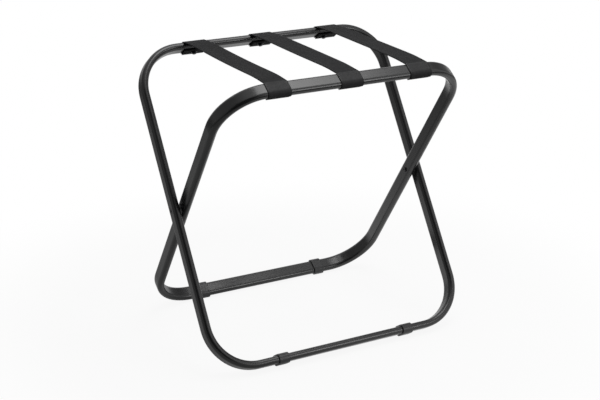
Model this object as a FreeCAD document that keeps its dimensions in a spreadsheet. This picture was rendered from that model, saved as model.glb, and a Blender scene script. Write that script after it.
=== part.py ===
"""Folding luggage bench: two loops of flat-oval steel tube crossed in an X, three webbing straps.

Millimetres, +X to the right, +Y to the back, +Z up, origin on the floor under the pivot axis.
The outer frame leans back, so its top bar is at the back and its bottom bar at the front. The
inner frame leans forward inside it. Both turn on one axis along X through their legs' middles.
"""
import FreeCAD
import Part
import Sketcher
import math
import os

DIMENSIONS = [
    ("outer_width", 560, "outer frame over its legs"),
    ("inner_width", 522.5, "inner frame over its legs"),
    ("half_height", 321.5, "pivot to a bar's centreline, along the leg"),
    ("half_angle", 34.3, "lean of each frame from upright when the bench is open, degrees"),
    ("corner_radius", 87.5, "bend radius of the tube's centreline"),
    ("tube_width", 30, "flat-oval tube, wide way, across the frame's plane"),
    ("tube_thickness", 15, "flat-oval tube, thin way"),
    ("tube_wall", 1.5, "tube wall"),
    ("bolt_diameter", 4.9, "pivot bolt's shank and the sleeve nut's barrel"),
    ("head_diameter", 10, "pivot bolt's countersunk head, where its cone would end in an edge"),
    ("head_land", 0.2, "straight rim of the bolt's head"),
    ("socket_flats", 3, "hexagon socket in the bolt's head, across flats"),
    ("socket_depth", 2.2, "hexagon socket in the bolt's head"),
    ("bolt_shoulder", 16.25, "pivot bolt's shank, from the outer leg's face to its M4 thread"),
    ("thread_diameter", 3.9, "pivot bolt's M4 thread"),
    ("thread_end", 32, "end of the thread, from the outer leg's face"),
    ("clearance_bore", 5.2, "bore of the pieces that the bolt is held in"),
    ("bush_bore", 5, "running bore of the nylon bush"),
    ("bush_diameter", 7, "bush barrel"),
    ("bush_flange_diameter", 10, "bush flange"),
    ("bush_flange", 0.8, "bush flange thickness"),
    ("sleeve_diameter", 10, "spacer tube in the outer leg"),
    ("slip_fit", 0.05, "radial gap between a hole in a leg and what sits in it"),
    ("spacer_diameter", 20, "nylon spacer washer between the legs"),
    ("spacer_thickness", 3.5, "nylon spacer washer"),
    ("end_play", 0.25, "play along the pivot between bush flange and sleeve nut"),
    ("nut_mouth", 16.5, "open end of the sleeve nut's barrel, from the outer leg's face"),
    ("nut_bore", 4, "tapped hole in the sleeve nut"),
    ("nut_bore_end", 33.5, "bottom of the tapped hole, from the outer leg's face"),
    ("nut_head_diameter", 10, "sleeve nut's low head"),
    ("nut_head", 1.3, "sleeve nut's head thickness"),
    ("nut_round", 0.7, "rounding of the nut head's rim"),
    ("nut_socket_flats", 2.5, "hexagon socket in the nut's head, across flats"),
    ("nut_socket_depth", 0.8, "hexagon socket in the nut's head"),
    ("glide_place", 138, "glide's middle from the bench's middle"),
    ("glide_length", 22, "glide along the bar"),
    ("glide_wall", 3, "glide wall round the tube"),
    ("glide_fit", 0.1, "gap between glide and tube"),
    ("glide_sole", 2.2, "glide under the tube, down to the flat sole"),
    ("glide_round", 0.8, "rounding of the glide's rims"),
    ("strap_pitch", 147.5, "from strap to strap"),
    ("strap_width", 46, "webbing width"),
    ("strap_thickness", 1.5, "webbing thickness"),
    ("strap_gap", 0.3, "webbing clear of the tube"),
    ("strap_crown", 3, "how far the strap's middle stands above the bars' tops"),
    ("crown_slope", 4, "slope of the strap where it leaves a bar, degrees"),
    ("crown_radius", 600, "radius of the strap's rise"),
    ("fold_lead", 2, "strap past the bar's flat underside before its end folds back"),
    ("fold_gap", 0.3, "between the folded end and the layer over it"),
    ("hem_length", 21, "folded end of the strap"),
    ("screw_diameter", 4.8, "tapping screw through the folded strap and the bar's underside"),
    ("screw_length", 13, "screw under its collar"),
    ("screw_point", 1.6, "blunt end of the screw's point"),
    ("collar_diameter", 12, "pressed-on washer of the screw's head"),
    ("collar_thickness", 1, "pressed-on washer"),
    ("pan_diameter", 9.5, "screw's pan head"),
    ("pan_height", 3.7, "pan head below its washer"),
    ("pan_round", 2, "rounding of the pan head"),
    ("recess_width", 1.2, "arm of the head's cross recess"),
    ("recess_length", 5, "cross recess from end to end"),
    ("recess_depth", 2.4, "cross recess"),
]

PIVOT_HEIGHT = ("Dims.glide_sole + Dims.tube_thickness / 2"
                " + (Dims.tube_width - Dims.tube_thickness) / 2 * sin(Dims.half_angle)"
                " + Dims.half_height * cos(Dims.half_angle)")
NUT_SEAT = ("((Dims.outer_width - Dims.inner_width) / 2 + Dims.tube_thickness"
            " + Dims.bush_flange + Dims.end_play)")
BAR_UNDERSIDE = "(Dims.half_height - Dims.tube_thickness / 2)"

X_AXIS = FreeCAD.Vector(1, 0, 0)
Y_AXIS = FreeCAD.Vector(0, 1, 0)
Z_AXIS = FreeCAD.Vector(0, 0, 1)
ORIGIN = (-1, 1)          # a sketch's own origin, as a geometry and a point
H_AXIS, V_AXIS = -1, -2   # a sketch's own axes
START, END, CENTRE = 1, 2, 3

doc = FreeCAD.newDocument("LuggageBench")
sheet = doc.addObject("Spreadsheet::Sheet", "Dims")
for row, (alias, number, meaning) in enumerate(DIMENSIONS, start=1):
    sheet.set(f"A{row}", alias)
    sheet.set(f"B{row}", str(number))
    sheet.set(f"C{row}", meaning)
    sheet.setAlias(f"B{row}", alias)
doc.recompute()

subparts = []


def size(expression):
    """The number that an expression on the sheet's dimensions gives now."""
    return float(sheet.evalExpression(expression.replace("Dims.", "")))


# --- bodies and sketches ---------------------------------------------------------------------

def new_body(label):
    body = doc.addObject("PartDesign::Body", label)
    body.Label = label
    subparts.append(body)
    return body


def origin_plane(body, role):
    plane = next(item for item in body.Origin.OriginFeatures if item.Role == role)
    return (plane, [""])


def new_sketch(body, plane, name, shift=None):
    """A sketch on one of the body's origin planes; shift moves it along the plane's normal."""
    sketch = body.newObject("Sketcher::SketchObject", name)
    sketch.AttachmentSupport = origin_plane(body, plane)
    sketch.MapMode = "FlatFace"
    if shift:
        sketch.setExpression(".AttachmentOffset.Base.z", shift)
    return sketch


def drive(sketch, name, expression, kind, *where):
    """Add a dimension to a sketch and bind it to the sheet."""
    index = sketch.addConstraint(Sketcher.Constraint(kind, *where, size(expression)))
    sketch.renameConstraint(index, name)
    sketch.setExpression("Constraints." + name, expression)


def drive_point(sketch, name, geometry, point, across, up):
    """Place a point from the sketch's origin; None puts it on that axis."""
    if across is None:
        sketch.addConstraint(Sketcher.Constraint("PointOnObject", geometry, point, V_AXIS))
    else:
        drive(sketch, name + "_across", across, "DistanceX", *ORIGIN, geometry, point)
    if up is None:
        sketch.addConstraint(Sketcher.Constraint("PointOnObject", geometry, point, H_AXIS))
    else:
        drive(sketch, name + "_up", up, "DistanceY", *ORIGIN, geometry, point)


def place_of(corner):
    across, up = (size(value) if value else 0.0 for value in corner)
    return FreeCAD.Vector(across, up, 0)


def draw_outline(sketch, corners):
    """A closed outline of straight lines through corners of (across, up) expressions."""
    first = sketch.GeometryCount
    places = [place_of(corner) for corner in corners]
    for start, end in zip(places, places[1:] + places[:1]):
        sketch.addGeometry(Part.LineSegment(start, end))
    for index, (across, up) in enumerate(corners):
        line = first + index
        following = first + (index + 1) % len(corners)
        sketch.addConstraint(Sketcher.Constraint("Coincident", line, END, following, START))
        drive_point(sketch, f"corner{index}", line, START, across, up)


def draw_circle(sketch, diameter, across=None):
    """A circle about the origin, or about a point across from it."""
    circle = sketch.addGeometry(Part.Circle(place_of((across, None)), Z_AXIS, size(diameter) / 2))
    drive_point(sketch, "centre", circle, CENTRE, across, None)
    drive(sketch, "diameter", diameter, "Diameter", circle)


def draw_hexagon(sketch, flats):
    """A regular hexagon about the origin, one flat uppermost."""
    half_flat = f"({flats}) / 2"
    half_side = f"({flats}) / 2 * tan(30)"
    corner = f"({flats}) / 2 / cos(30)"
    draw_outline(sketch, [(corner, None), (half_side, half_flat), (f"-{half_side}", half_flat),
                          (f"-{corner}", None), (f"-{half_side}", f"-{half_flat}"),
                          (half_side, f"-{half_flat}")])


def draw_flat_oval(sketch, name, reach, radius, height):
    """Two half circles, reach either side of the middle at a height, joined by two flats."""
    middle_up = size(height)
    half_flat = size(reach)
    bend = size(radius)
    arcs = []
    for side in (1, -1):
        circle = Part.Circle(FreeCAD.Vector(side * half_flat, middle_up, 0), Z_AXIS, bend)
        from_angle = -math.pi / 2 * side
        arcs.append(sketch.addGeometry(Part.ArcOfCircle(circle, from_angle, from_angle + math.pi)))
    right, left = arcs
    for level, (start, end) in ((bend, (right, left)), (-bend, (left, right))):
        flat = sketch.addGeometry(Part.LineSegment(
            FreeCAD.Vector(math.copysign(half_flat, level), middle_up + level, 0),
            FreeCAD.Vector(-math.copysign(half_flat, level), middle_up + level, 0)))
        sketch.addConstraint(Sketcher.Constraint("Tangent", start, END, flat, START))
        sketch.addConstraint(Sketcher.Constraint("Tangent", flat, END, end, START))
        sketch.addConstraint(Sketcher.Constraint("Horizontal", flat))
    drive(sketch, name + "_radius", radius, "Radius", right)
    drive_point(sketch, name + "_right", right, CENTRE, reach, height)
    drive(sketch, name + "_left", f"-({reach})", "DistanceX", *ORIGIN, left, CENTRE)


def revolve(body, corners, axis="H_Axis"):
    """Turn an outline about the body's own X axis, or about its Z axis for V_Axis."""
    sketch = new_sketch(body, "XZ_Plane", body.Label + "_profile")
    draw_outline(sketch, corners)
    turned = body.newObject("PartDesign::Revolution", body.Label + "_turned")
    turned.Profile = sketch
    turned.ReferenceAxis = (sketch, [axis])
    turned.Angle = 360
    return turned


def groove(body, name, corners):
    """Cut an outline turned about the body's own X axis."""
    sketch = new_sketch(body, "XZ_Plane", name)
    draw_outline(sketch, corners)
    cut = body.newObject("PartDesign::Groove", name + "_groove")
    cut.Profile = sketch
    cut.ReferenceAxis = (sketch, ["H_Axis"])
    cut.Angle = 360
    return cut


def pad(body, sketch, length, symmetric=False):
    feature = body.newObject("PartDesign::Pad", sketch.Label + "_pad")
    feature.Profile = sketch
    feature.SideType = "Symmetric" if symmetric else "One side"
    feature.setExpression("Length", length)
    return feature


def pocket(body, sketch, length=None, symmetric=False, towards_normal=False):
    """Cut along the sketch's normal; with no length, right through both ways."""
    feature = body.newObject("PartDesign::Pocket", sketch.Label + "_pocket")
    feature.Profile = sketch
    feature.SideType = "Symmetric" if symmetric or not length else "One side"
    feature.Reversed = towards_normal
    if length:
        feature.setExpression("Length", length)
    else:
        feature.Type = "ThroughAll"
    return feature


def round_edges(body, base, radius, is_chosen):
    """Fillet the edges of base whose curve and middle the test accepts."""
    doc.recompute()
    names = [f"Edge{number}" for number, edge in enumerate(base.Shape.Edges, start=1)
             if is_chosen(edge)]
    fillet = body.newObject("PartDesign::Fillet", body.Label + "_round")
    fillet.Base = (base, names)
    fillet.setExpression("Radius", radius)
    return fillet


# --- the two frames and their glides ---------------------------------------------------------

OVAL_REACH = "(Dims.tube_width - Dims.tube_thickness) / 2"
BAR_LEVEL = "-Dims.half_height"


def lean(body, way, across=None):
    """Stand a body on the pivot axis and lean it: way 1 is the outer frame, -1 the inner."""
    body.Placement = FreeCAD.Placement(FreeCAD.Vector(), FreeCAD.Rotation(-way * X_AXIS, 1))
    body.setExpression(".Placement.Rotation.Angle", "Dims.half_angle")
    body.setExpression(".Placement.Base.z", PIVOT_HEIGHT)
    if across:
        body.setExpression(".Placement.Base.x", across)


def draw_half_loop(sketch, leg):
    """The tube's centreline from the middle of the bottom bar to the middle of the top bar."""
    side = size(leg)
    level = size("Dims.half_height")
    bend = size("Dims.corner_radius")
    points = [(0, -level), (side - bend, -level), (side, bend - level),
              (side, level - bend), (side - bend, level), (0, level)]
    places = [FreeCAD.Vector(across, up, 0) for across, up in points]

    def line(start, end):
        return sketch.addGeometry(Part.LineSegment(places[start], places[end]))

    def corner(up, from_degrees):
        circle = Part.Circle(FreeCAD.Vector(side - bend, up, 0), Z_AXIS, bend)
        start = math.radians(from_degrees)
        return sketch.addGeometry(Part.ArcOfCircle(circle, start, start + math.pi / 2))

    bottom = line(0, 1)
    low_corner = corner(bend - level, -90)
    upright = line(2, 3)
    high_corner = corner(level - bend, 0)
    top = line(4, 5)
    chain = (bottom, low_corner, upright, high_corner, top)
    for first, second in zip(chain, chain[1:]):
        sketch.addConstraint(Sketcher.Constraint("Tangent", first, END, second, START))
    for flat in (bottom, top):
        sketch.addConstraint(Sketcher.Constraint("Horizontal", flat))
    sketch.addConstraint(Sketcher.Constraint("Equal", low_corner, high_corner))
    drive(sketch, "bend", "Dims.corner_radius", "Radius", low_corner)
    drive(sketch, "leg", leg, "DistanceX", *ORIGIN, upright, START)
    drive_point(sketch, "bottom_middle", bottom, START, None, BAR_LEVEL)
    drive_point(sketch, "top_middle", top, END, None, "Dims.half_height")


def make_frame(label, width, way, pivot_hole, depth=None, seats_heads=False):
    """A closed loop of hollow tube; the pivot holes go right through unless they have a depth."""
    body = new_body(label)
    route = new_sketch(body, "XZ_Plane", label + "_route")
    draw_half_loop(route, f"({width} - Dims.tube_thickness) / 2")
    section = new_sketch(body, "YZ_Plane", label + "_section")
    draw_flat_oval(section, "outside", OVAL_REACH, "Dims.tube_thickness / 2", BAR_LEVEL)
    draw_flat_oval(section, "inside", OVAL_REACH, "Dims.tube_thickness / 2 - Dims.tube_wall",
                   BAR_LEVEL)
    half = body.newObject("PartDesign::AdditivePipe", label + "_half")
    half.Profile = section
    half.Spine = route
    loop = body.newObject("PartDesign::Mirrored", label + "_loop")
    loop.Originals = [half]
    loop.MirrorPlane = origin_plane(body, "YZ_Plane")
    body.Tip = loop
    outline = new_sketch(body, "YZ_Plane", label + "_pivot_hole")
    draw_circle(outline, pivot_hole)
    body.Tip = pocket(body, outline, depth, symmetric=True)
    if seats_heads:
        edge = "(Dims.head_diameter / 2 + Dims.slip_fit)"
        for side, hand in ((-1, "left"), (1, "right")):
            face = f"{side} * {width} / 2"
            body.Tip = groove(body, f"{label}_{hand}_countersink",
                              [(face, None), (face, edge), (f"{face} - {side} * {edge}", None)])
    for side, name in ((-1, "left"), (0, "middle"), (1, "right")):
        outline = new_sketch(body, "XY_Plane", f"{label}_{name}_screw_hole")
        draw_circle(outline, "Dims.screw_diameter + 2 * Dims.slip_fit",
                    f"{side} * Dims.strap_pitch" if side else None)
        body.Tip = pocket(body, outline, "Dims.half_height", towards_normal=True)
    lean(body, way)


def make_glide(label, side, way):
    """A sleeve round the bottom bar, cut to a flat sole where the tube comes lowest."""
    body = new_body(label)
    section = new_sketch(body, "YZ_Plane", label + "_section")
    draw_flat_oval(section, "outside", OVAL_REACH, "Dims.tube_thickness / 2 + Dims.glide_wall",
                   BAR_LEVEL)
    draw_flat_oval(section, "bore", OVAL_REACH, "Dims.tube_thickness / 2 + Dims.glide_fit",
                   BAR_LEVEL)
    sleeve = pad(body, section, "Dims.glide_length", symmetric=True)
    rim = size("Dims.glide_length") / 2
    outside = size("Dims.tube_thickness / 2 + Dims.glide_wall")

    def on_outer_rim(edge):
        at_end = all(abs(abs(vertex.X) - rim) < 0.01 for vertex in edge.Vertexes)
        from_bar = abs(edge.valueAt(edge.FirstParameter).z - size(BAR_LEVEL))
        is_arc = hasattr(edge.Curve, "Radius") and abs(edge.Curve.Radius - outside) < 0.01
        is_flat = not hasattr(edge.Curve, "Radius") and abs(from_bar - outside) < 0.01
        return at_end and (is_arc or is_flat)

    rounded = round_edges(body, sleeve, "Dims.glide_round", on_outer_rim)
    sole = new_sketch(body, "YZ_Plane", label + "_sole")
    sole.AttachmentOffset = FreeCAD.Placement(FreeCAD.Vector(), FreeCAD.Rotation(way * Z_AXIS, 1))
    sole.setExpression(".AttachmentOffset.Rotation.Angle", "Dims.half_angle")
    sole.setExpression(".AttachmentOffset.Base.x", f"{way} * {OVAL_REACH}")
    sole.setExpression(".AttachmentOffset.Base.y", BAR_LEVEL)
    floor_level = "-(Dims.tube_thickness / 2 + Dims.glide_sole)"
    draw_outline(sole, [("-Dims.tube_width", floor_level), ("-Dims.tube_width", "-Dims.tube_width"),
                        ("Dims.tube_width", "-Dims.tube_width"), ("Dims.tube_width", floor_level)])
    doc.recompute()
    volume = rounded.Shape.Volume
    body.Tip = pocket(body, sole)
    doc.recompute()
    if body.Shape.Volume >= volume:
        raise RuntimeError(label + " has no flat sole")
    lean(body, way, across=f"{side} * Dims.glide_place")


# --- the pivots: local +X runs inboard from the outer face of the outer leg ------------------

def stand_at_pivot(body, side):
    """side -1 is the left pivot; the right one is turned half round."""
    body.Placement = FreeCAD.Placement(
        FreeCAD.Vector(), FreeCAD.Rotation(Z_AXIS, 0 if side < 0 else 180))
    body.setExpression(".Placement.Base.x", f"{side} * Dims.outer_width / 2")
    body.setExpression(".Placement.Base.z", PIVOT_HEIGHT)


def make_ring(label, side, start, length, outer, bore):
    """A plain turned ring, start and length along the pivot."""
    body = new_body(label)
    finish = f"{start} + {length}"
    inside = f"({bore}) / 2"
    outside = f"({outer}) / 2"
    revolve(body, [(start, inside), (finish, inside), (finish, outside), (start, outside)])
    stand_at_pivot(body, side)


def make_sleeve(label, side):
    """The spacer tube inside the outer leg, with a mouth that takes the head's cone."""
    body = new_body(label)
    finish = "Dims.tube_thickness"
    bore = "Dims.clearance_bore / 2"
    edge = "Dims.head_diameter / 2 + Dims.slip_fit"
    revolve(body, [("Dims.tube_wall", f"{edge} - Dims.tube_wall"), (f"{edge} - {bore}", bore),
                   (finish, bore), (finish, "Dims.sleeve_diameter / 2"),
                   ("Dims.tube_wall", "Dims.sleeve_diameter / 2")])
    stand_at_pivot(body, side)


def on_rim(body_radius, level, axis):
    """A test for the round edge of that radius lying at a level along an axis, 0 for X, 2 for Z."""
    return lambda edge: (hasattr(edge.Curve, "Radius")
                         and abs(edge.Curve.Radius - size(body_radius)) < 0.01
                         and abs(edge.Curve.Center[axis] - size(level)) < 0.01)


def make_bolt(label, side):
    """A countersunk bolt, its head flush with the outer leg's outer face."""
    body = new_body(label)
    shank = "Dims.bolt_diameter / 2"
    thread = "Dims.thread_diameter / 2"
    rim = "Dims.head_diameter / 2 - Dims.head_land"
    revolve(body, [
        (None, None), ("Dims.thread_end", None), ("Dims.thread_end", thread),
        ("Dims.bolt_shoulder", thread), ("Dims.bolt_shoulder", shank),
        (f"Dims.head_diameter / 2 - {shank}", shank), ("Dims.head_land", rim), (None, rim)])
    socket = new_sketch(body, "YZ_Plane", label + "_socket")
    draw_hexagon(socket, "Dims.socket_flats")
    body.Tip = pocket(body, socket, "Dims.socket_depth", towards_normal=True)
    stand_at_pivot(body, side)


def make_bush(label, side):
    body = new_body(label)
    outer_face = "(Dims.outer_width - Dims.inner_width) / 2"
    inner_face = outer_face + " + Dims.tube_thickness"
    flange_end = inner_face + " + Dims.bush_flange"
    bore = "Dims.bush_bore / 2"
    revolve(body, [(outer_face, bore), (flange_end, bore),
                   (flange_end, "Dims.bush_flange_diameter / 2"),
                   (inner_face, "Dims.bush_flange_diameter / 2"),
                   (inner_face, "Dims.bush_diameter / 2"), (outer_face, "Dims.bush_diameter / 2")])
    stand_at_pivot(body, side)


def make_sleeve_nut(label, side):
    """A tapped barrel that the bush turns on, with a low round head inside the inner leg."""
    body = new_body(label)
    barrel = "Dims.bolt_diameter / 2"
    bore = "Dims.nut_bore / 2"
    rim = "Dims.nut_head_diameter / 2"
    face = NUT_SEAT + " + Dims.nut_head"
    turned = revolve(body, [
        ("Dims.nut_mouth", bore), ("Dims.nut_bore_end", bore), ("Dims.nut_bore_end", None),
        (face, None), (face, rim), (NUT_SEAT, rim), (NUT_SEAT, barrel), ("Dims.nut_mouth", barrel)])
    round_edges(body, turned, "Dims.nut_round", on_rim(rim, face, 0))
    socket = new_sketch(body, "YZ_Plane", label + "_socket", shift=face)
    draw_hexagon(socket, "Dims.nut_socket_flats")
    body.Tip = pocket(body, socket, "Dims.nut_socket_depth")
    stand_at_pivot(body, side)


# --- the straps ------------------------------------------------------------------------------

def heading(degrees):
    """A direction in the YZ plane, 0 along +Y and 90 straight up."""
    return FreeCAD.Vector(0, math.cos(math.radians(degrees)), math.sin(math.radians(degrees)))


def ribbon(start, moves, thickness):
    """A closed face of even thickness along straight runs and tangent arcs, in the YZ plane.

    It sets out level towards the back. Each move is (length, 0) for a run or (radius, turn) for
    an arc, a left turn positive.
    """
    half = thickness / 2
    left, right = [], []
    place, degrees = start, 0
    for reach, turn in moves:
        aside = heading(degrees + 90)
        if turn == 0:
            end = place + heading(degrees) * reach
            for edges, offset in ((left, half), (right, -half)):
                edges.append(Part.LineSegment(place + aside * offset, end + aside * offset))
        else:
            way = math.copysign(1, turn)
            centre = place + aside * reach * way
            spokes = [heading(degrees - 90 * way + turn * part) for part in (0, 0.5, 1)]
            for edges, offset in ((left, -half), (right, half)):
                radius = reach + offset * way
                edges.append(Part.Arc(*[centre + spoke * radius for spoke in spokes]))
            end = centre + spokes[2] * reach
            degrees += turn
        place = end
    ends = [Part.LineSegment(left[0].StartPoint, right[0].StartPoint),
            Part.LineSegment(left[-1].EndPoint, right[-1].EndPoint)]
    edges = [curve.toShape() for curve in left + right + ends]
    return Part.Face(Part.Wire(Part.__sortEdges__(edges)))


def strap_half():
    """The strap from its middle to the back: over the bar, round it, its end folded underneath."""
    thickness = size("Dims.strap_thickness")
    wrap_radius = size("Dims.tube_thickness / 2 + Dims.strap_gap + Dims.strap_thickness / 2")
    flat_length = size("Dims.tube_width - Dims.tube_thickness")
    angle = size("Dims.half_angle")
    slope = size("Dims.crown_slope")
    out = heading(90 - angle)
    bar = out * size("Dims.half_height")
    front_round = bar - heading(-angle) * (flat_length / 2)

    bow = size("Dims.crown_radius")
    touch = front_round + heading(90 - slope) * wrap_radius
    bow_height = bow * (1 - math.cos(math.radians(slope)))
    top = front_round.z + wrap_radius + size("Dims.strap_crown")
    ramp = (top - bow_height - touch.z) / math.sin(math.radians(slope))
    bow_end = touch - heading(-slope) * ramp
    level_run = bow_end.y - bow * math.sin(math.radians(slope))

    fold = size("Dims.strap_thickness + Dims.fold_gap") / 2
    lead = size("Dims.fold_lead")
    half = ribbon(FreeCAD.Vector(0, 0, top), [
        (level_run, 0), (bow, -slope), (ramp, 0), (wrap_radius, slope - angle), (flat_length, 0),
        (wrap_radius, -180), (flat_length + lead, 0), (fold, 180),
        (size("Dims.hem_length"), 0)], thickness)
    across = X_AXIS * size("Dims.strap_width")
    half = half.extrude(across)
    half.translate(across * -0.5)
    hole = Part.makeCylinder(size("Dims.screw_diameter / 2 + Dims.slip_fit"), wrap_radius,
                             bar - out * wrap_radius * 1.5, out)
    return half.cut(hole)


def make_strap(label, side):
    """Front and back halves are alike, so the second is a mirror of the first."""
    strap = doc.addObject("Part::Feature", label)
    strap.Label = label
    back = strap_half()
    front = back.mirror(FreeCAD.Vector(), Y_AXIS)
    strap.Shape = back.fuse(front).removeSplitter().Solids[0]
    strap.Placement = FreeCAD.Placement(
        FreeCAD.Vector(side * size("Dims.strap_pitch"), 0, size(PIVOT_HEIGHT)), FreeCAD.Rotation())
    subparts.append(strap)


def make_strap_screw(label, side, way):
    """A pan-head tapping screw with a pressed-on washer, up into the underside of a top bar."""
    body = new_body(label)
    seat = (f"({BAR_UNDERSIDE} - Dims.strap_gap - 2 * Dims.strap_thickness - Dims.fold_gap)")
    collar = f"{seat} - Dims.collar_thickness"
    lowest = f"{collar} - Dims.pan_height"
    tip = f"{seat} + Dims.screw_length"
    shank = "Dims.screw_diameter / 2"
    point = "Dims.screw_point / 2"
    pan = "Dims.pan_diameter / 2"
    disc = "Dims.collar_diameter / 2"
    turned = revolve(body, [
        (None, lowest), (pan, lowest), (pan, collar), (disc, collar), (disc, seat), (shank, seat),
        (shank, f"{tip} - {shank} + {point}"), (point, tip), (None, tip)], axis="V_Axis")
    round_edges(body, turned, "Dims.pan_round", on_rim(pan, lowest, 2))
    recess = new_sketch(body, "XY_Plane", label + "_recess", shift=lowest)
    arm, end = "Dims.recess_width / 2", "Dims.recess_length / 2"
    quarter = [(end, arm), (arm, arm), (arm, end)]
    turns = [quarter, [(f"-{a}", u) for a, u in reversed(quarter)],
             [(f"-{a}", f"-{u}") for a, u in quarter], [(a, f"-{u}") for a, u in reversed(quarter)]]
    draw_outline(recess, [corner for turn in turns for corner in turn])
    body.Tip = pocket(body, recess, "Dims.recess_depth", towards_normal=True)
    lean(body, way, across=f"{side} * Dims.strap_pitch" if side else None)


# --- the bench -------------------------------------------------------------------------------

SLIDING_HOLE = " + 2 * Dims.slip_fit"
make_frame("outer_frame", "Dims.outer_width", 1, "Dims.sleeve_diameter" + SLIDING_HOLE,
           depth="Dims.outer_width - Dims.tube_thickness", seats_heads=True)
make_frame("inner_frame", "Dims.inner_width", -1, "Dims.bush_diameter" + SLIDING_HOLE)

for side, hand in ((-1, "left"), (1, "right")):
    make_glide(f"front_{hand}_glide", side, 1)
    make_glide(f"back_{hand}_glide", side, -1)
    make_bolt(f"{hand}_pivot_bolt", side)
    make_sleeve(f"{hand}_leg_sleeve", side)
    make_ring(f"{hand}_spacer_washer", side, "Dims.tube_thickness", "Dims.spacer_thickness",
              "Dims.spacer_diameter", "Dims.clearance_bore")
    make_bush(f"{hand}_pivot_bush", side)
    make_sleeve_nut(f"{hand}_sleeve_nut", side)

for side, name in ((-1, "left_strap"), (0, "middle_strap"), (1, "right_strap")):
    make_strap(name, side)
    make_strap_screw(name + "_back_screw", side, 1)
    make_strap_screw(name + "_front_screw", side, -1)

doc.recompute()
for item in doc.Objects:
    if {"Invalid", "Error"} & set(item.State):
        raise RuntimeError(f"{item.Label} failed: {item.State}")
os.makedirs("parts", exist_ok=True)
for piece in subparts:
    if piece.Shape.isNull() or not piece.Shape.isValid():
        raise RuntimeError(f"{piece.Label} has no valid shape")
    piece.Shape.exportStep(f"parts/{piece.Label}.step")
    box = piece.Shape.BoundBox
    print(f"{piece.Label}: {len(piece.Shape.Solids)} solid, {piece.Shape.Volume:.0f} mm3,"
          f" X {box.XMin:.1f} {box.XMax:.1f} Y {box.YMin:.1f} {box.YMax:.1f}"
          f" Z {box.ZMin:.2f} {box.ZMax:.2f}")
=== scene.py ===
import math

import bpy
from mathutils import Matrix, Vector


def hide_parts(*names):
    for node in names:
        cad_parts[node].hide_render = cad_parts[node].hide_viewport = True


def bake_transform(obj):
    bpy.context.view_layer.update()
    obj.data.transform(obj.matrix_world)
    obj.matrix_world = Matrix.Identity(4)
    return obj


# Folding luggage bench: black powder-coated tube frames, woven straps wrapped round the top bars
# and screwed under them, rubber sleeve glides and the pivot fasteners.
# Metres, +X right, +Y back, +Z up. Named angles are in degrees.

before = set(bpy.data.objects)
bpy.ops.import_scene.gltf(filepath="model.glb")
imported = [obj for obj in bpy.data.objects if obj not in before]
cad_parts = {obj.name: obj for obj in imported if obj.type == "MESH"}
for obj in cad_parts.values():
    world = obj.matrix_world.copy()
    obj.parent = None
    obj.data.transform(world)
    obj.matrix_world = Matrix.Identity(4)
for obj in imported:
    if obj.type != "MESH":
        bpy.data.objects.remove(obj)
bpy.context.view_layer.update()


# --- shader nodes ----------------------------------------------------------------------------

def node(tree, kind, **settings):
    made = tree.nodes.new("ShaderNode" + kind)
    for name, value in settings.items():
        setattr(made, name, value)
    return made


def feed(tree, socket, value):
    """Link a socket to another one, or set it to a plain number or colour."""
    if isinstance(value, bpy.types.NodeSocket):
        tree.links.new(value, socket)
    else:
        socket.default_value = value


def calc(tree, operation, *operands):
    """A Math node's result; each operand is a socket or a number."""
    made = node(tree, "Math", operation=operation)
    for socket, value in zip(made.inputs, operands):
        feed(tree, socket, value)
    return made.outputs[0]


def between(tree, value, from_low, from_high, low, high, smooth=False):
    """The value's place in one range, carried over to another."""
    made = node(tree, "MapRange")
    if smooth:
        made.interpolation_type = "SMOOTHSTEP"
    tree.links.new(value, made.inputs["Value"])
    for name, number in (("From Min", from_low), ("From Max", from_high),
                         ("To Min", low), ("To Max", high)):
        feed(tree, made.inputs[name], number)
    return made.outputs["Result"]


def axes(tree, place):
    """A place's X, Y and Z, by name."""
    split = node(tree, "SeparateXYZ")
    tree.links.new(place, split.inputs[0])
    return split.outputs


def noise(tree, place, scale, detail=2.0, roughness=0.5):
    made = node(tree, "TexNoise")
    for name, value in (("Vector", place), ("Scale", scale), ("Detail", detail),
                        ("Roughness", roughness)):
        feed(tree, made.inputs[name], value)
    return made.outputs["Fac"]


def blend_colour(tree, share, first, second):
    """The first colour where share is 0 and the second where it is 1."""
    made = node(tree, "Mix", data_type="RGBA")
    for socket, value in ((made.inputs["Factor"], share), (made.inputs[6], first),
                          (made.inputs[7], second)):
        feed(tree, socket, value)
    return made.outputs[2]


def show_mix(tree, share, first, second, output):
    """End a world's or a material's nodes in a mix of two shaders."""
    mix = node(tree, "MixShader")
    tree.links.new(share, mix.inputs["Fac"])
    tree.links.new(first.outputs[0], mix.inputs[1])
    tree.links.new(second.outputs[0], mix.inputs[2])
    tree.links.new(mix.outputs[0], node(tree, output).inputs["Surface"])


# --- modelling by hand -----------------------------------------------------------------------

MERGE_DISTANCE = 0.000005


def deselect():
    if bpy.context.object and bpy.context.object.mode != "OBJECT":
        bpy.ops.object.mode_set(mode="OBJECT")
    bpy.ops.object.select_all(action="DESELECT")


def pick(piece):
    deselect()
    piece.select_set(True)
    bpy.context.view_layer.objects.active = piece


def finish_with(piece, kind, **settings):
    """Add a modifier and apply it."""
    pick(piece)
    modifier = piece.modifiers.new(kind.lower(), kind)
    for name, value in settings.items():
        setattr(modifier, name, value)
    bpy.ops.object.modifier_apply(modifier=modifier.name)


def tidy_normals(piece):
    """Merge doubled points and turn every face outwards."""
    pick(piece)
    bpy.ops.object.mode_set(mode="EDIT")
    bpy.ops.mesh.select_all(action="SELECT")
    bpy.ops.mesh.remove_doubles(threshold=MERGE_DISTANCE)
    bpy.ops.mesh.normals_make_consistent(inside=False)
    bpy.ops.object.mode_set(mode="OBJECT")


# --- camera, light and floor -----------------------------------------------------------------

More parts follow.
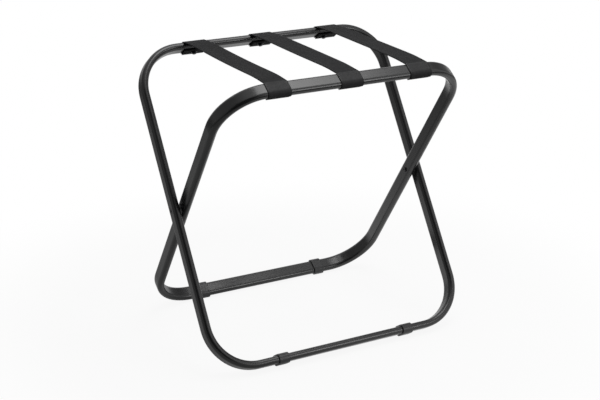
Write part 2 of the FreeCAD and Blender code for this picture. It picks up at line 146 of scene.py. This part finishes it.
CAMERA_TURN = -28.49
CAMERA_RISE = 20.19
CAMERA_ROLL = 0.27
CAMERA_TARGET = Vector((0.0054, 0.01246, 0.24888))
CAMERA_DISTANCE = 2.654
# in millimetres, as a camera has them
LENS_LENGTH = 79.13
SENSOR_WIDTH = 36

# name, place, aim, width and length, watts
LAMPS = [
    ("top_softbox", (0.3, -0.1, 1.78), (0.3, -0.1, 0), (0.9, 1.0), 10.7),
    ("front_softbox", (1.08, -2.06, 0.96), (0, 0, 0.45), (0.45, 0.9), 7.5),
]

# the room's strength as light on the bench; to the camera and in mirrors it is up to 1
FILL_LEVEL = 0.45
# where the room is dim in mirrors: direction, angles of the rim and of the core, level
DIM_SIDES = [((-0.448, -0.825, 0.345), 46, 24, 0.03), ((0.821, 0.350, 0.451), 36, 14, 0.3)]

FLOOR_WIDTH = 14
FLOOR_DEPTH = 8
FLOOR_FRONT = -1.1
FLOOR_DROP = 0.0004
FLOOR_WHITE = (0.86, 0.86, 0.86, 1)


def place_camera():
    """A long lens from the front left, a little above the bench."""
    turn, rise, roll = map(math.radians, (CAMERA_TURN, CAMERA_RISE, CAMERA_ROLL))
    back = Vector((math.sin(turn) * math.cos(rise), -math.cos(turn) * math.cos(rise),
                   math.sin(rise)))
    lens = bpy.data.cameras.new("camera")
    lens.lens = LENS_LENGTH
    lens.sensor_width = SENSOR_WIDTH
    camera = bpy.data.objects.new("camera", lens)
    facing = (-back).to_track_quat("-Z", "Y").to_matrix() @ Matrix.Rotation(roll, 3, "Z")
    place = Matrix.Translation(CAMERA_TARGET + back * CAMERA_DISTANCE)
    camera.matrix_world = place @ facing.to_4x4()
    bpy.context.scene.collection.objects.link(camera)
    bpy.context.scene.camera = camera


def hang_lamp(name, place, aim, across, power):
    data = bpy.data.lights.new(name, "AREA")
    data.shape = "RECTANGLE"
    data.size, data.size_y = across
    data.energy = power
    lamp = bpy.data.objects.new(name, data)
    lamp.location = place
    lamp.rotation_euler = (Vector(aim) - Vector(place)).to_track_quat("-Z", "Y").to_euler()
    bpy.context.scene.collection.objects.link(lamp)


def seen_ray(tree):
    """1 for rays that the background shows to: camera, mirror and see-through rays."""
    path = node(tree, "LightPath")
    direct = calc(tree, "MAXIMUM", path.outputs["Is Camera Ray"], path.outputs["Is Glossy Ray"])
    return calc(tree, "MAXIMUM", direct, path.outputs["Is Transmission Ray"])


def light_room():
    """A white studio with a dim end behind the camera, which lights the bench only softly."""
    world = bpy.data.worlds.new("studio")
    bpy.context.scene.world = world
    world.use_nodes = True
    tree = world.node_tree
    tree.nodes.clear()
    direction = node(tree, "TexCoord").outputs["Generated"]
    way = axes(tree, direction)
    # in mirrors the room is dark below the horizon and dimmer on the left
    mirrored = calc(tree, "MULTIPLY",
                    between(tree, way["Z"], -0.12, 0.0, 0.05, 1.0, smooth=True),
                    between(tree, way["X"], -0.7, -0.2, 0.4, 1.0, smooth=True))
    for side, rim, core, level in DIM_SIDES:
        facing = node(tree, "VectorMath", operation="DOT_PRODUCT")
        tree.links.new(direction, facing.inputs[0])
        facing.inputs[1].default_value = side
        dim = between(tree, facing.outputs["Value"], math.cos(math.radians(rim)),
                      math.cos(math.radians(core)), 1.0, level, smooth=True)
        mirrored = calc(tree, "MULTIPLY", mirrored, dim)
    tone = calc(tree, "MULTIPLY_ADD", calc(tree, "SUBTRACT", mirrored, 1.0),
                node(tree, "LightPath").outputs["Is Glossy Ray"], 1.0)
    fill = node(tree, "Background")
    fill.inputs["Color"].default_value = (1, 1, 1, 1)
    fill.inputs["Strength"].default_value = FILL_LEVEL
    white = node(tree, "Background")
    tree.links.new(tone, white.inputs["Color"])
    white.inputs["Strength"].default_value = 1.0
    show_mix(tree, seen_ray(tree), fill, white, "OutputWorld")


def lay_floor():
    """A pale floor that melts into the white room and keeps the bench's shadow."""
    deselect()
    middle = (0, FLOOR_FRONT + FLOOR_DEPTH / 2, -FLOOR_DROP)
    bpy.ops.mesh.primitive_plane_add(size=1, location=middle)
    floor = bpy.context.object
    floor.name = "floor"
    floor.scale = (FLOOR_WIDTH, FLOOR_DEPTH, 1)
    bpy.ops.object.transform_apply(location=True, rotation=False, scale=True)
    paint = bpy.data.materials.new("floor_white")
    paint.use_nodes = True
    tree = paint.node_tree
    tree.nodes.clear()
    matt = node(tree, "BsdfDiffuse")
    matt.inputs["Color"].default_value = FLOOR_WHITE
    white = node(tree, "Emission")
    place = node(tree, "TexCoord").outputs["Object"]
    reach = node(tree, "VectorMath", operation="LENGTH")
    tree.links.new(place, reach.inputs[0])
    away = reach.outputs["Value"]
    # in mirrors the floor is dimmer on the left and far away
    mirrored = calc(tree, "MULTIPLY",
                    between(tree, axes(tree, place)["X"], -0.3, 0.2, 0.4, 1.0, smooth=True),
                    between(tree, away, 1.0, 2.5, 1.0, 0.35, smooth=True))
    tree.links.new(between(tree, node(tree, "LightPath").outputs["Is Glossy Ray"], 0.0, 1.0,
                           1.0, mirrored), white.inputs["Strength"])
    # round the bench a share of the lit and shaded floor shows, and beyond it only the white
    plain = between(tree, away, 0.45, 0.9, 0.9, 1.0, smooth=True)
    show_mix(tree, calc(tree, "MULTIPLY", seen_ray(tree), plain), matt, white, "OutputMaterial")
    floor.data.materials.append(paint)


# --- shared effects --------------------------------------------------------------------------

# the webbing's weave, in millimetres; each band fades out between its two distances from an edge
RIB_PITCH = 0.95
PICK_PITCH = 2.1
EDGE_CORD_PITCH = 1.05
SELVEDGE_BAND = (1.35, 1.65)
MELTED_BAND = (0.7, 1.5)


def new_group(name, inputs, outputs):
    """A shader node group; inputs are (name, socket type, default), outputs (name, type)."""
    group = bpy.data.node_groups.new(name, "ShaderNodeTree")
    for label, kind, default in inputs:
        socket = group.interface.new_socket(label, in_out="INPUT", socket_type=kind)
        if default is not None:
            socket.default_value = default
    for label, kind in outputs:
        group.interface.new_socket(label, in_out="OUTPUT", socket_type=kind)
    return group, group.nodes.new("NodeGroupInput"), group.nodes.new("NodeGroupOutput")


def use(tree, group, **values):
    """Place a group in a material, and link or set its inputs by name."""
    placed = tree.nodes.new("ShaderNodeGroup")
    placed.node_tree = group
    for name, value in values.items():
        feed(tree, placed.inputs[name], value)
    return placed


def make_skin_group():
    """Orange peel or moulding texture: a fine bumpy height and a slow haze."""
    group, given, result = new_group(
        "surface_skin",
        [("Place", "NodeSocketVector", None), ("Grain", "NodeSocketFloat", 900.0),
         ("Cloud", "NodeSocketFloat", 14.0)],
        [("Height", "NodeSocketFloat"), ("Haze", "NodeSocketFloat")])
    for scale, made, detail in (("Grain", "Height", 1.0), ("Cloud", "Haze", 4.0)):
        group.links.new(noise(group, given.outputs["Place"], given.outputs[scale], detail),
                        result.inputs[made])
    return group


def make_rub_group():
    """Sparse fine rub marks: thin streaks kept to patches."""
    group, given, result = new_group(
        "rub_marks",
        [("Place", "NodeSocketVector", None), ("Amount", "NodeSocketFloat", 0.5)],
        [("Mask", "NodeSocketFloat")])
    stretched = node(group, "Mapping")
    stretched.inputs["Scale"].default_value = (60, 420, 420)
    group.links.new(given.outputs["Place"], stretched.inputs["Vector"])
    streaky = noise(group, stretched.outputs[0], scale=1.0, detail=3.0, roughness=0.7)
    patchy = noise(group, given.outputs["Place"], scale=9.0)
    both = calc(group, "MULTIPLY", between(group, streaky, 0.62, 0.74, 0.0, 1.0),
                between(group, patchy, 0.52, 0.68, 0.0, 1.0))
    group.links.new(calc(group, "MULTIPLY", both, given.outputs["Amount"]),
                    result.inputs["Mask"])
    return group


def make_weave_group():
    """Webbing seen close: lengthwise ribs of staggered floats between two tight selvedges.

    Cloth is the place on the cut strap in millimetres, from one of its corners. Selvedge marks
    the two edge bands and Melt the heat-sealed cut ends; Shade adds painted shade in the hollows.
    """
    group, given, result = new_group(
        "webbing_weave",
        [("Cloth", "NodeSocketVector", None), ("Rib", "NodeSocketFloat", RIB_PITCH),
         ("Pick", "NodeSocketFloat", PICK_PITCH), ("Width", "NodeSocketFloat", 46.0),
         ("Length", "NodeSocketFloat", 526.0)],
        [("Height", "NodeSocketFloat"), ("Shade", "NodeSocketFloat"),
         ("Selvedge", "NodeSocketFloat"), ("Melt", "NodeSocketFloat")])
    cloth = given.outputs["Cloth"]
    place = axes(group, cloth)
    across, along = place["X"], place["Y"]

    def to_edge(near, whole):
        return calc(group, "MINIMUM", near, calc(group, "SUBTRACT", given.outputs[whole], near))

    def swung(angle, swing, middle):
        """A cosine that swings that far to each side of its middle."""
        return calc(group, "MULTIPLY_ADD", calc(group, "COSINE", angle), swing, middle)

    selvedge = between(group, to_edge(across, "Width"), *SELVEDGE_BAND, 1.0, 0.0)
    melt = between(group, to_edge(along, "Length"), *MELTED_BAND, 1.0, 0.0)

    # its height: ribs that are round across and wavy along, staggered from rib to rib
    rib = calc(group, "DIVIDE", across, given.outputs["Rib"])
    number = calc(group, "FLOOR", rib)
    off_middle = calc(group, "SUBTRACT", calc(group, "FRACT", rib), 0.5)
    arch = calc(group, "COSINE", calc(group, "MULTIPLY", off_middle, math.pi))
    round_rib = calc(group, "POWER", arch, 0.55)
    stagger = calc(group, "MULTIPLY", calc(group, "MODULO", number, 2.0), 0.5)
    picks = calc(group, "ADD", calc(group, "DIVIDE", along, given.outputs["Pick"]), stagger)
    floats = swung(calc(group, "MULTIPLY", picks, 2 * math.pi), 0.26, 0.74)
    edge_cord = swung(calc(group, "MULTIPLY", along, 2 * math.pi / EDGE_CORD_PITCH), 0.12, 0.8)
    fuzz = noise(group, cloth, scale=4.0, detail=3.0, roughness=0.7)
    body = calc(group, "MULTIPLY_ADD", fuzz, 0.16, calc(group, "MULTIPLY", round_rib, floats))
    woven = node(group, "Mix", data_type="FLOAT")
    group.links.new(selvedge, woven.inputs["Factor"])
    group.links.new(body, woven.inputs[2])
    group.links.new(edge_cord, woven.inputs[3])
    height = calc(group, "MULTIPLY", woven.outputs[0], calc(group, "SUBTRACT", 1.0, melt))

    # its shade: paler where it is high, which paints shade into the hollows, and uneven from rib
    # to rib and slowly over the cloth
    yarn = node(group, "TexWhiteNoise", noise_dimensions="1D")
    group.links.new(number, yarn.inputs["W"])
    slow = noise(group, cloth, scale=0.045, detail=3.0, roughness=0.6)
    uneven = calc(group, "MULTIPLY_ADD", yarn.outputs["Value"], 0.22,
                  calc(group, "MULTIPLY_ADD", slow, 0.5, -0.16))
    shade = calc(group, "MULTIPLY_ADD", height, 0.55, uneven)
    for name, value in (("Height", height), ("Shade", shade), ("Selvedge", selvedge),
                        ("Melt", melt)):
        group.links.new(value, result.inputs[name])
    return group


# --- finishes --------------------------------------------------------------------------------

PAINT_DARK = (0.0068, 0.0069, 0.0072, 1)
PAINT_PALE = (0.0100, 0.0101, 0.0106, 1)
PAINT_RUBBED = (0.032, 0.032, 0.033, 1)
RUBBER_DARK = (0.009, 0.009, 0.010, 1)
RUBBER_PALE = (0.016, 0.016, 0.017, 1)
NYLON_DARK = (0.010, 0.010, 0.011, 1)
NYLON_PALE = (0.018, 0.018, 0.019, 1)
BLACK_PLATE = (0.030, 0.030, 0.033, 1)
BLACK_PLATE_RUBBED = (0.16, 0.16, 0.16, 1)
# painted highlight: the paler colour of the sleeve nuts' inner faces, standing in for their
# reflection
NUT_FACE_HIGHLIGHT_PAINT = (0.060, 0.060, 0.062, 1)
ZINC = (0.50, 0.51, 0.52, 1)
ZINC_RUBBED = (0.62, 0.62, 0.62, 1)
YARN_DARK = (0.0056, 0.0056, 0.0060, 1)
YARN_PALE = (0.0228, 0.0228, 0.0240, 1)
SELVEDGE_BLACK = (0.011, 0.011, 0.012, 1)
SEALED_BLACK = (0.010, 0.010, 0.010, 1)
# painted shade: the near-black of the hem folded under each bar
HEM_SHADE_PAINT = (0.0025, 0.0025, 0.0027, 1)

# between these two the haze takes a finish from its smoothest to its roughest
HAZE_RANGE = (0.3, 0.7)
# across X, up to this far out, which is their flat inner faces, the sleeve nuts get a painted
# highlight
NUT_FACE = 0.2440
FACE_FADE = 0.0002

# changes along the webbing, as millimetres past where it lies down on a bar's flat side
RUBBED_STARTS = (-10, 1)
RUBBED_ENDS = (15, 28)
# from here on the hem under the bar is painted darker, as painted shade
HEM_SHADE_STARTS = (24, 36)


def new_finish(name, roughness, metallic=0.0, specular=0.5):
    finish = bpy.data.materials.new(name)
    finish.use_nodes = True
    shader = finish.node_tree.nodes["Principled BSDF"]
    shader.inputs["Roughness"].default_value = roughness
    shader.inputs["Metallic"].default_value = metallic
    shader.inputs["Specular IOR Level"].default_value = specular
    return finish, finish.node_tree, shader


def object_place(tree):
    return node(tree, "TexCoord").outputs["Object"]


def raise_by(tree, shader, height, depth):
    bump = node(tree, "Bump")
    bump.inputs["Distance"].default_value = depth
    tree.links.new(height, bump.inputs["Height"])
    tree.links.new(bump.outputs["Normal"], shader.inputs["Normal"])


def powder_coat(skin, rubs):
    finish, tree, shader = new_finish("satin_black_powder_coat", roughness=0.26)
    place = object_place(tree)
    surface = use(tree, skin, Place=place, Grain=620.0, Cloud=11.0).outputs
    marks = use(tree, rubs, Place=place, Amount=0.2).outputs["Mask"]
    black = blend_colour(tree, surface["Haze"], PAINT_DARK, PAINT_PALE)
    tree.links.new(blend_colour(tree, marks, black, PAINT_RUBBED), shader.inputs["Base Color"])
    even = between(tree, surface["Haze"], *HAZE_RANGE, 0.21, 0.29)
    tree.links.new(calc(tree, "MULTIPLY_ADD", marks, 0.25, even), shader.inputs["Roughness"])
    raise_by(tree, shader, surface["Height"], depth=0.000012)
    return finish


def moulded(name, skin, dark, pale, roughness, grain):
    finish, tree, shader = new_finish(name, roughness)
    surface = use(tree, skin, Place=object_place(tree), Grain=grain, Cloud=40.0).outputs
    tree.links.new(blend_colour(tree, surface["Haze"], dark, pale), shader.inputs["Base Color"])
    tree.links.new(between(tree, surface["Haze"], *HAZE_RANGE, roughness - 0.06,
                           roughness + 0.06), shader.inputs["Roughness"])
    raise_by(tree, shader, surface["Height"], depth=0.00005)
    return finish


def plated(name, skin, rubs, colour, worn, roughness, painted_highlight_inside=0.0):
    """Plated steel with rub marks; within the distance given last from the middle plane, across
    X, it is painted the paler worn colour as a painted highlight.
    """
    finish, tree, shader = new_finish(name, roughness, metallic=1.0)
    place = object_place(tree)
    surface = use(tree, skin, Place=place, Grain=2600.0, Cloud=90.0).outputs
    marks = use(tree, rubs, Place=place, Amount=0.8).outputs["Mask"]
    if painted_highlight_inside:
        reach = calc(tree, "ABSOLUTE", axes(tree, place)["X"])
        # painted highlight: inside that distance the faces are painted the paler worn colour
        painted_face_highlight = between(tree, reach, painted_highlight_inside, painted_highlight_inside + FACE_FADE, 1.0, 0.0)
        marks = calc(tree, "MAXIMUM", marks, painted_face_highlight)
    tree.links.new(blend_colour(tree, marks, colour, worn), shader.inputs["Base Color"])
    tree.links.new(between(tree, surface["Haze"], *HAZE_RANGE, roughness - 0.08,
                           roughness + 0.08), shader.inputs["Roughness"])
    raise_by(tree, shader, surface["Height"], depth=0.00001)
    return finish


def webbing_finish(weave):
    """Black webbing, rubbed smoother on top of the bars, with painted shade where it is folded
    under them.
    """
    finish, tree, shader = new_finish("black_woven_webbing", roughness=0.75, specular=0.2)
    width, length, bar = (size * 1000 for size in (STRAP_WIDTH, STRAP_LENGTH, WRAP_START))
    cloth = node(tree, "Mapping")
    cloth.inputs["Scale"].default_value = (width, length, 1)
    tree.links.new(node(tree, "UVMap", uv_map="UVMap").outputs["UV"], cloth.inputs["Vector"])
    place = cloth.outputs["Vector"]
    woven = use(tree, weave, Cloth=place, Width=width, Length=length).outputs
    from_middle = calc(tree, "ABSOLUTE",
                       calc(tree, "SUBTRACT", axes(tree, place)["Y"], length / 2))

    def past_bar(low, high, before, after):
        """One value up to the first distance, another from the second on."""
        return between(tree, from_middle, bar + low, bar + high, before, after, smooth=True)

    rubbed = calc(tree, "MULTIPLY", past_bar(*RUBBED_STARTS, 0.0, 1.0),
                  past_bar(*RUBBED_ENDS, 1.0, 0.0))
    # painted shade: the hem under each bar is painted near-black where the bar shades it
    hem_painted_shade = past_bar(*HEM_SHADE_STARTS, 0.0, 1.0)
    # the yarn colour carries painted shade in the weave's hollows as well as the yarns' own
    # uneven tone
    yarn = blend_colour(tree, woven["Shade"], YARN_DARK, YARN_PALE)
    edged = blend_colour(tree, woven["Selvedge"], yarn, SELVEDGE_BLACK)
    sealed = blend_colour(tree, woven["Melt"], edged, SEALED_BLACK)
    tree.links.new(blend_colour(tree, hem_painted_shade, sealed, HEM_SHADE_PAINT),
                   shader.inputs["Base Color"])
    matt = between(tree, woven["Shade"], 0.0, 1.0, 1.0, 0.85)
    worn = between(tree, woven["Shade"], 0.0, 1.0, 0.54, 0.30)
    cloth_roughness = between(tree, rubbed, 0.0, 1.0, matt, worn)
    tree.links.new(between(tree, woven["Melt"], 0.0, 1.0, cloth_roughness, 0.4),
                   shader.inputs["Roughness"])
    raise_by(tree, shader, woven["Height"], depth=0.0002)
    return finish


# --- the straps ------------------------------------------------------------------------------

# the frames at rest: the pivots' height, each frame's lean from upright, and how far along the
# frame a top bar's middle lies from the pivots
PIVOT_Z = 0.279517
HALF_ANGLE = 34.3
HALF_HEIGHT = 0.3215
# the tube's flat oval: the radius of its round ends, and from its middle to theirs
OVAL_RADIUS = 0.0075
OVAL_REACH = 0.0075

STRAP_WIDTH = 0.046
STRAP_THICKNESS = 0.0015
STRAP_PITCH = 0.1475
STRAP_GAP = 0.0003
# the level middle stands this far above the bars, and dips to them on a bend and a slope
STRAP_RISE = 0.003
DIP_RADIUS = 0.6
DIP_SLOPE = 4
# the end goes on this far past the bar's flat underside, then folds back on itself as a hem
FOLD_LEAD = 0.002
FOLD_GAP = 0.0003
HEM_LENGTH = 0.021

# how finely a strap is cut into faces
LONGEST_STEP = 0.0024
WIDEST_TURN = 9
FACES_ACROSS = 16

# how a strap lies: half of what bows, front to back; what slants, from bar to bar; and the
# length of cloth over which it drifts
BOW_REACH = 0.15
SLANT_SPAN = 0.36
DRIFT_RUN = 0.04

# its edges: the width of their rounding, the least angle that gets it, and the least angle that
# is shaded as a sharp edge
EDGE_ROUND = 0.0004
ROUNDED_FROM = 55
SHARP_FROM = 40


def heading(degrees):
    """A direction in the YZ plane, 0 along +Y and 90 straight up."""
    return Vector((0, math.cos(math.radians(degrees)), math.sin(math.radians(degrees))))


def strap_half():
    """Where a strap's middle is, and its (length, 0) runs and (radius, turn) arcs to its end.

    It runs level, dips to the bar, hugs it down and under, and folds back under itself.
    """
    wrap = OVAL_RADIUS + STRAP_GAP + STRAP_THICKNESS / 2
    dip = math.radians(DIP_SLOPE)
    near_round = heading(90 - HALF_ANGLE) * HALF_HEIGHT - heading(-HALF_ANGLE) * OVAL_REACH
    touch = near_round + heading(90 - DIP_SLOPE) * wrap
    middle = near_round.z + wrap + STRAP_RISE
    ramp = (middle - DIP_RADIUS * (1 - math.cos(dip)) - touch.z) / math.sin(dip)
    level = touch.y - ramp * math.cos(dip) - DIP_RADIUS * math.sin(dip)
    return Vector((0, 0, middle)), [
        (level, 0), (DIP_RADIUS, -DIP_SLOPE), (ramp, 0), (wrap, DIP_SLOPE - HALF_ANGLE),
        (2 * OVAL_REACH, 0), (wrap, -180), (2 * OVAL_REACH + FOLD_LEAD, 0),
        ((STRAP_THICKNESS + FOLD_GAP) / 2, 180), (HEM_LENGTH, 0)]


def stretch_length(reach, turn):
    return reach * math.radians(abs(turn)) if turn else reach


STRAP_MIDDLE, STRAP_MOVES = strap_half()
HALF_LENGTH = sum(stretch_length(*move) for move in STRAP_MOVES)
STRAP_LENGTH = 2 * HALF_LENGTH
WRAP_START = sum(stretch_length(*move) for move in STRAP_MOVES[:4])


def strap_stations():
    """Distances from a strap's middle to its end, closer together where it bends."""
    stations, along = [0.0], 0.0
    for reach, turn in STRAP_MOVES:
        length = stretch_length(reach, turn)
        count = max(math.ceil(length / LONGEST_STEP), math.ceil(abs(turn) / WIDEST_TURN))
        stations += [along + length * (index + 1) / count for index in range(count)]
        along += length
    return stations


def place_along(distance):
    """The point that far along the strap's line from its middle towards the back."""
    place, degrees = STRAP_MIDDLE.copy(), 0.0
    for reach, turn in STRAP_MOVES:
        length = stretch_length(reach, turn)
        part = min(distance, length)
        if turn == 0:
            place = place + heading(degrees) * part
        else:
            way = math.copysign(1, turn)
            centre = place + heading(degrees + 90 * way) * reach
            turned = turn * part / length
            place = centre + heading(degrees - 90 * way + turned) * reach
            degrees += turned
        distance -= part
        if distance <= 0:
            break
    return place


def ease(share):
    """From 0 to 1 with a gentle start and end."""
    share = min(1.0, max(0.0, share))
    return share * share * (3 - 2 * share)


def lay_strap(name, x, crown, lifted_edge, slant, drift):
    """Cut the webbing flat, lead it over and round both bars, then give it its thickness.

    crown is how far the span bows up, lifted_edge how much more its right edge does, slant how
    far right of its front end the back end lies, and drift how much further the back end slides
    as it goes round the bar.
    """
    half = strap_stations()
    stations = [-along for along in reversed(half[1:])] + half
    last = len(stations) - 1
    deselect()
    bpy.ops.mesh.primitive_grid_add(x_subdivisions=FACES_ACROSS, y_subdivisions=last, size=1)
    strap = bpy.context.object
    strap.name = name + "_webbing"
    places = [place_along(abs(along)) for along in stations]
    rows = [round((vertex.co.y + 0.5) * last) for vertex in strap.data.vertices]
    for vertex, row in zip(strap.data.vertices, rows):
        across, along, place = vertex.co.x * STRAP_WIDTH, stations[row], places[row]
        arch = max(0.0, 1 - (place.y / BOW_REACH) ** 2) if abs(along) < WRAP_START else 0.0
        lift = arch * (crown + lifted_edge * (0.5 + across / STRAP_WIDTH))
        y = math.copysign(place.y, along)
        slide = slant * (0.5 + y / SLANT_SPAN) + drift * ease((along - WRAP_START) / DRIFT_RUN)
        vertex.co = (x + across + slide, y, PIVOT_Z + place.z + lift)
    weave_map = strap.data.uv_layers.active.data
    for loop in strap.data.loops:
        weave_map[loop.index].uv.y = 0.5 + stations[rows[loop.vertex_index]] / STRAP_LENGTH
    finish_with(strap, "SOLIDIFY", thickness=STRAP_THICKNESS, offset=0, use_even_offset=True)
    tidy_normals(strap)
    finish_with(strap, "BEVEL", width=EDGE_ROUND, segments=2, limit_method="ANGLE",
                angle_limit=math.radians(ROUNDED_FROM))
    pick(strap)
    bpy.ops.object.shade_smooth_by_angle(angle=math.radians(SHARP_FROM))
    return strap


# --- the bench -------------------------------------------------------------------------------

place_camera()
light_room()
lay_floor()
for lamp in LAMPS:
    hang_lamp(*lamp)

skin = make_skin_group()
rubs = make_rub_group()
weave = make_weave_group()
paint = powder_coat(skin, rubs)
rubber = moulded("black_moulded_rubber", skin, RUBBER_DARK, RUBBER_PALE,
                 roughness=0.38, grain=800.0)
nylon = moulded("black_nylon", skin, NYLON_DARK, NYLON_PALE, roughness=0.38, grain=1200.0)
black_plate = plated("black_plated_steel", skin, rubs, BLACK_PLATE, BLACK_PLATE_RUBBED,
                     roughness=0.38)
# the nuts' inner faces carry a painted highlight
nut_plate = plated("black_plated_nut", skin, rubs, BLACK_PLATE, NUT_FACE_HIGHLIGHT_PAINT,
                   roughness=0.38, painted_highlight_inside=NUT_FACE)
zinc_plate = plated("zinc_plated_steel", skin, rubs, ZINC, ZINC_RUBBED, roughness=0.32)
webbing = webbing_finish(weave)

# the finish of each piece but the straps, by how its name ends
CARRIED_OVER = {"frame": paint, "glide": rubber, "bolt": black_plate, "nut": nut_plate,
                "screw": black_plate, "sleeve": zinc_plate, "spacer_washer": nylon, "bush": nylon}
for name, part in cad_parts.items():
    for ending, finish in CARRIED_OVER.items():
        if name.endswith(ending):
            part.data.materials.clear()
            part.data.materials.append(finish)

STRAPS = {
    "left_strap": dict(x=-STRAP_PITCH, crown=-0.0022, lifted_edge=0.0, slant=0.0, drift=0.0),
    "middle_strap": dict(x=0.0, crown=-0.001, lifted_edge=0.0015, slant=-0.001, drift=0.004),
    "right_strap": dict(x=STRAP_PITCH, crown=0.0, lifted_edge=0.0, slant=0.003, drift=0.005),
}
for name, lie in STRAPS.items():
    strap = lay_strap(name, **lie)
    strap.data.materials.clear()
    strap.data.materials.append(webbing)
    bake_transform(strap)
    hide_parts(name)

deselect()
bpy.context.scene.view_settings.view_transform = "Standard"
